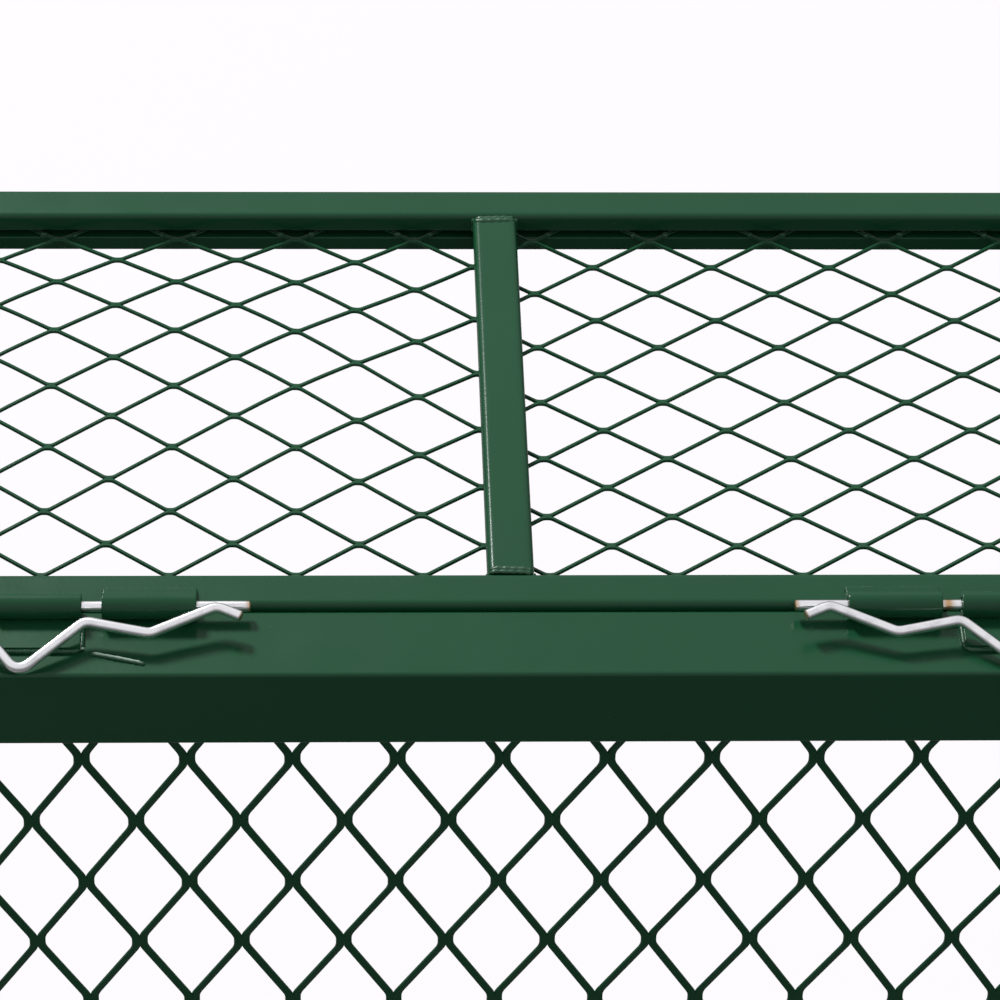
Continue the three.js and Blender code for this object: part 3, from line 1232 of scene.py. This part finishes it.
@dataclass
class Flap:
    """The flap: tube frame with its mesh held at the far edge, strut and inner hinge halves."""

    axis: HingeAxis
    body: str = "flap"
    radius: float = 2.7 * MM
    wall: float = 1.5 * MM

    def mesh(self) -> ExpandedSheet:
        """Describes the flap's sheet, with its strands running along the rails.

        Returns:
            The sheet.
        """
        return ExpandedSheet(
            name="flap_mesh_sheet", node="flap_mesh", body=self.body, run=0, across=1,
            out=2, cell_run=51.9 * MM, cell_across=36.6 * MM, phase_run=38.5 * MM,
            phase_across=158.1 * MM, width=2.6 * MM, thickness=1.45 * MM,
            tilt=np.radians(-20), bond=1.5 * MM, bend=0.9 * MM, lap=0.45, pressed=14 * MM,
            pull=12 * MM,
        )

    def welds(self, sheet: ExpandedSheet) -> None:
        """Beads round the strut's ends, the lugs and the corners, and spots along the mesh.

        Args:
            sheet: The flap's mesh.
        """
        beads = Beads(self.body, seed=23)
        near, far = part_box("flap_near_rail"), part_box("flap_far_rail")
        low, high = corners("flap_strut")
        for y, inward in ((near[1][1], 1), (far[0][1], -1)):
            for depth, radius in ((0.6, 1.3), (2.3, 1.7)):
                line = y + inward * depth * MM
                path = [
                    [low[0] + 0.6 * MM, line, high[2] - 0.9 * MM],
                    [low[0] + 3.0 * MM, line + inward * 0.5 * MM, high[2] - 0.3 * MM],
                    [high[0] - 4.0 * MM, line, high[2] - 0.3 * MM],
                    [high[0] - 0.8 * MM, line - inward * 0.3 * MM, high[2] - 0.9 * MM],
                ]
                beads.run(path, radius * MM, 3.4 * MM, 0.34, flat=0.7)
            for x in (low[0] + 0.2 * MM, high[0] - 0.2 * MM):
                line = y + inward * 0.4 * MM
                beads.run([[x, line, low[2] + 1.2 * MM], [x, line, high[2] - 1.0 * MM]], 1.1 * MM)
        for name, s in SIDES:
            lug_low, lug_high = corners("flap_hinge_" + name)
            z = near[1][2] + 0.6 * MM
            back = lug_high[1] + 0.2 * MM
            path = [[lug_low[0] - 0.4 * MM, back, z], [lug_high[0] + 0.4 * MM, back, z]]
            beads.run(path, 1.5 * MM, 3.1 * MM)
            end_low, end_high = corners("flap_end_rail_" + name)
            inner = end_high[0] if s < 0 else end_low[0]
            for y in (near[1][1] + 0.15 * MM, far[0][1] - 0.15 * MM):
                line = [[inner, y, end_low[2] + 2 * MM], [inner, y, end_high[2] - 2 * MM]]
                beads.run(line, 1.5 * MM)
                across = end_low[0] + 3 * MM, end_high[0] - 3 * MM
                for z in (end_high[2] - 0.5 * MM, end_low[2] + 0.5 * MM):
                    beads.run([[x, y, z] for x in across], 0.7 * MM, 2.2 * MM)
        mesh_low, mesh_high = corners(sheet.node)
        beads.dots(sheet.ends(near[1][1] + 0.5 * MM), 1.5 * MM, (1.3, 0.8, 1.0))
        beads.dots(sheet.ends(far[0][1] + 0.6 * MM), 1.35 * MM, (1.2, 0.9, 0.9))
        for x, inward in ((mesh_low[0], -1), (mesh_high[0], 1)):
            tips = sheet.end_tips(x)
            beads.dots(tips + [inward * 0.2 * MM, 0, 0], 1.5 * MM, (0.8, 1.2, 1.0))
        beads.build()

    def build(self) -> None:
        """Makes the flap."""
        for node in ("flap_near_rail", "flap_far_rail"):
            capped_rail(node, self.body, self.radius, self.wall)
        SolidBar("flap_far_strip", self.body, Axis.X, 0.8 * MM).build()
        for name, _ in SIDES:
            RailTube("flap_end_rail_" + name, self.body, Axis.Y, self.radius, self.wall).build()
            node = "flap_hinge_" + name
            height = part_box("flap_near_rail")[1][2] + 1.35 * MM
            RolledHinge(node, self.body, self.axis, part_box(node)[1][1], height).build()
        RailTube("flap_strut", self.body, Axis.Y, 2.8 * MM, self.wall).build()
        sheet = self.mesh()
        sheet.build()
        self.welds(sheet)


# ---- studio


@dataclass(frozen=True)
class Studio:
    """Camera, lights, floor and surroundings, none of which is part of the gate."""

    focal: float = 5.2
    pitch: float = np.radians(41.25)
    yaw: float = np.radians(2.94)
    roll: float = np.radians(-1.88)
    offset: tuple = (0.0096, 0.0570, 2.0823)
    aim: tuple = (0.0, 0.0, 0.6)
    lamp_place: tuple = (-1.22, 2.42, 3.04)
    lamp_target: tuple = (0.0, 0.1, 0.6)
    lamp_size: float = 0.55
    lamp_watts: float = 120.0
    floor_half: float = 6.0
    tint: tuple = (0.97, 0.955, 0.98, 1.0)
    full_at: float = 0.6

    def camera(self) -> None:
        """Long lens looking down on the hinge side: turned by yaw, then pitch, then roll.

        The aim point lies at `offset` in the camera's right, down and forward directions.
        """
        cp, sp = np.cos(self.pitch), np.sin(self.pitch)
        cy, sy = np.cos(self.yaw), np.sin(self.yaw)
        forward = np.array([sy * cp, cy * cp, -sp])
        level = np.array([cy, -sy, 0.0])
        plumb = np.cross(forward, level)
        cr, sr = np.cos(self.roll), np.sin(self.roll)
        right, down = cr * level + sr * plumb, -sr * level + cr * plumb
        axes = np.stack([right, down, forward])
        place = np.array(self.aim) - axes.T @ np.array(self.offset)
        data = bpy.data.cameras.new("camera")
        data.sensor_width = 36.0
        data.lens = 36.0 * self.focal
        data.clip_start, data.clip_end = 0.05, 100.0
        obj = bpy.data.objects.new("camera", data)
        bpy.context.scene.collection.objects.link(obj)
        turn = np.eye(4)
        turn[:3, 0], turn[:3, 1], turn[:3, 2], turn[:3, 3] = right, -down, -forward, place
        obj.matrix_world = Matrix(turn.tolist())
        bpy.context.scene.camera = obj

    def lamp(self) -> None:
        """A square lamp, high behind the gate and to the left, facing the top rail."""
        data = bpy.data.lights.new("key", "AREA")
        data.size, data.energy = self.lamp_size, self.lamp_watts
        obj = bpy.data.objects.new("key", data)
        bpy.context.scene.collection.objects.link(obj)
        obj.location = self.lamp_place
        away = np.array(self.lamp_place) - np.array(self.lamp_target)
        obj.rotation_mode = "QUATERNION"
        obj.rotation_quaternion = Vector(away).to_track_quat("Z", "Y")

    def floor(self) -> None:
        """A wide pale floor: a square grid level with the gate's underside."""
        far = self.floor_half
        square = [(-far, -far, 0.0), (far, -far, 0.0), (-far, far, 0.0), (far, far, 0.0)]
        mesh = bpy.data.meshes.new("floor")
        mesh.from_pydata(square, [], [[0, 1, 3, 2]])
        obj = bpy.data.objects.new("floor", mesh)
        bpy.context.scene.collection.objects.link(obj)
        made = bpy.data.materials.new("pale_floor")
        nodes = Nodes(made)
        seen, unseen, mirrored = (
            nodes.add("ShaderNodeBsdfDiffuse", Color=(grey, grey, grey, 1)).outputs[0]
            for grey in (0.05, 0.13, 0.28)
        )
        glow = nodes.add("ShaderNodeEmission", Color=(0.96, 0.935, 0.965, 1), Strength=0.98)
        lit = nodes.add("ShaderNodeAddShader")
        nodes.link(seen, lit.inputs[0])
        nodes.link(glow.outputs[0], lit.inputs[1])
        away = nodes.mix("Is Glossy Ray", unseen, mirrored)
        nodes.show(nodes.mix("Is Camera Ray", away, lit.outputs[0]))
        obj.data.materials.append(made)

    def surroundings(self) -> None:
        """A pale sky, brighter to the eye than as a light and dimmer low down in reflections."""
        world = bpy.data.worlds.new("studio")
        bpy.context.scene.world = world
        nodes = Nodes(world, "ShaderNodeOutputWorld")
        lit = nodes.mix("Is Glossy Ray", self.sky(nodes, 0.42), self.sky(nodes, 0.84, 0.25))
        nodes.show(nodes.mix("Is Camera Ray", lit, self.sky(nodes, 1.0)))

    def sky(self, nodes: Nodes, strength: float, low: float | None = None) -> object:
        """Adds a sky, even or dimmer towards the horizon.

        Args:
            nodes: The world's nodes.
            strength: Its brightness overhead.
            low: Its brightness at the horizon, or None for an even sky.

        Returns:
            The sky's shader output.
        """
        node = nodes.add("ShaderNodeBackground", Color=self.tint, Strength=strength)
        if low is not None:
            split = nodes.add("ShaderNodeSeparateXYZ")
            nodes.link(nodes.add("ShaderNodeTexCoord").outputs["Generated"], split.inputs[0])
            rise = nodes.ramp(split.outputs["Z"], 0.0, self.full_at, (low, strength))
            nodes.link(rise, node.inputs["Strength"])
        return node.outputs[0]

    def build(self) -> None:
        """Sets up the studio."""
        bpy.context.scene.view_settings.view_transform = "Standard"
        self.camera()
        self.surroundings()
        self.lamp()
        self.floor()


def main() -> None:
    """Builds the studio, then the gate leaf, the flap and the clips."""
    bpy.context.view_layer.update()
    axis = HingeAxis.of_flap()
    Studio().build()
    GateLeaf(axis).build()
    Flap(axis).build()
    for name, s in SIDES:
        HairpinClip(name, s, axis, worn_at=171.5 * MM if s > 0 else None).build()


if __name__ == "__main__":
    main()
